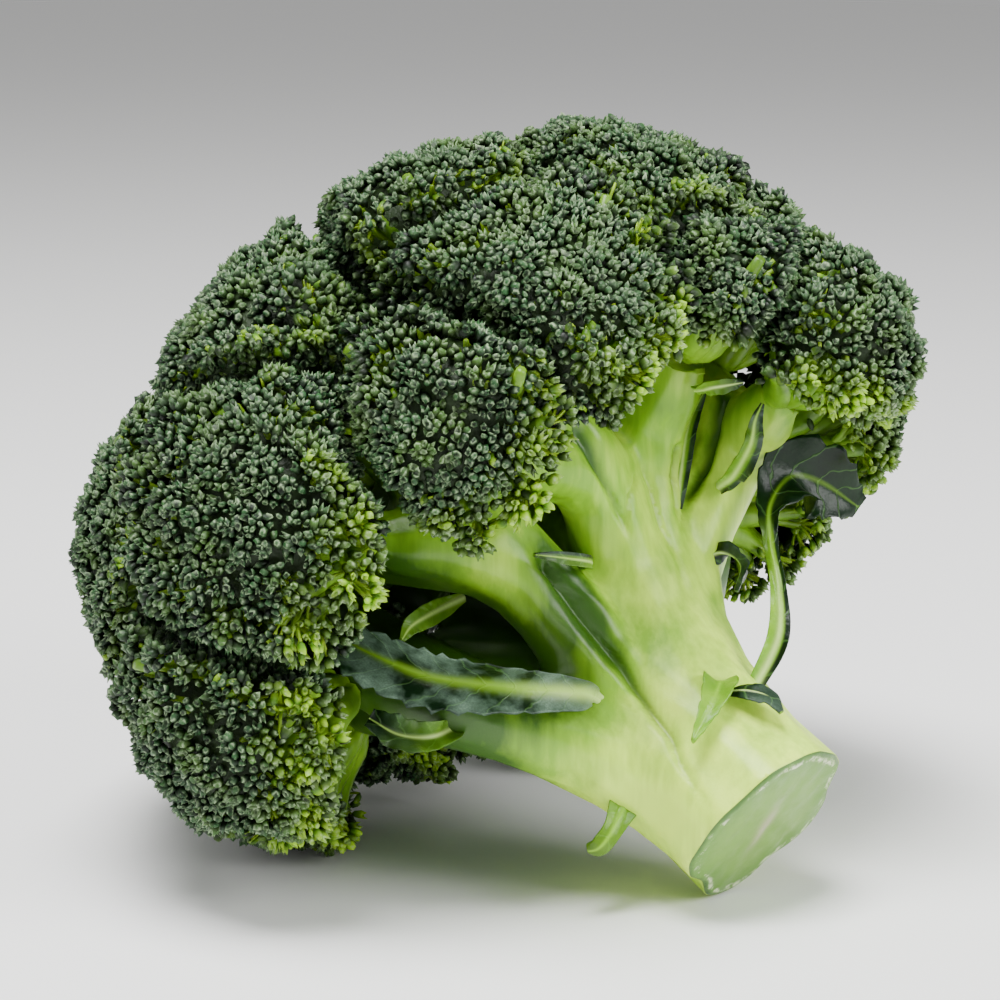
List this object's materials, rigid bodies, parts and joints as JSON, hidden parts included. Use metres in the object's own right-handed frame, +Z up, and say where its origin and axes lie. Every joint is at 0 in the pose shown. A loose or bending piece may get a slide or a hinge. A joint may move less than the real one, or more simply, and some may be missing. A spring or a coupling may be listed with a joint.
{
  "type": "broccoli head",
  "caption": "Broccoli head with a forked pale stalk, a domed crown of green bud clusters and small leaves, lying on its side.",
  "frame": {"origin": "on the surface that the head lies on, under the middle of its box", "axes": "+Z up, the crown towards -X and the stalk's cut face towards +X, Y across the stalk and along the surface"},
  "size_m": [0.146, 0.1666, 0.1355],
  "materials": {
    "bud_green": "matt, dark blue-green clusters of closed buds, yellow-green at their lower edges",
    "stalk_green": "smooth, pale yellow-green with a soft sheen",
    "leaf_green": "grey-green with a waxy bloom and pale midribs"
  },
  "bodies": {
    "root": {"crumpled_leaf": "leaf_green", "curly_leaf": "leaf_green", "cut_stub": "stalk_green", "floret_mid_01": "bud_green", "floret_mid_02": "bud_green", "floret_mid_03": "bud_green", "floret_mid_04": "bud_green", "floret_mid_05": "bud_green", "floret_mid_06": "bud_green", "floret_mid_07": "bud_green", "floret_mid_08": "bud_green", "floret_mid_09": "bud_green", "floret_rim_01": "bud_green", "floret_rim_02": "bud_green", "floret_rim_03": "bud_green", "floret_rim_04": "bud_green", "floret_rim_05": "bud_green", "floret_rim_06": "bud_green", "floret_rim_07": "bud_green", "floret_rim_08": "bud_green", "floret_rim_09": "bud_green", "floret_rim_10": "bud_green", "floret_rim_11": "bud_green", "floret_rim_12": "bud_green", "floret_rim_13": "bud_green", "floret_top_01": "bud_green", "floret_top_02": "bud_green", "floret_top_03": "bud_green", "fork_leaf": "leaf_green", "hook_leaf": "leaf_green", "large_leaf": "leaf_green", "lower_stub": "leaf_green", "narrow_leaf": "leaf_green", "petiole_leaf": "leaf_green", "sliver_leaf": "leaf_green", "stalk": "stalk_green", "stub_scrap": "leaf_green", "throat_leaf": "leaf_green"}
  },
  "joints": []
}
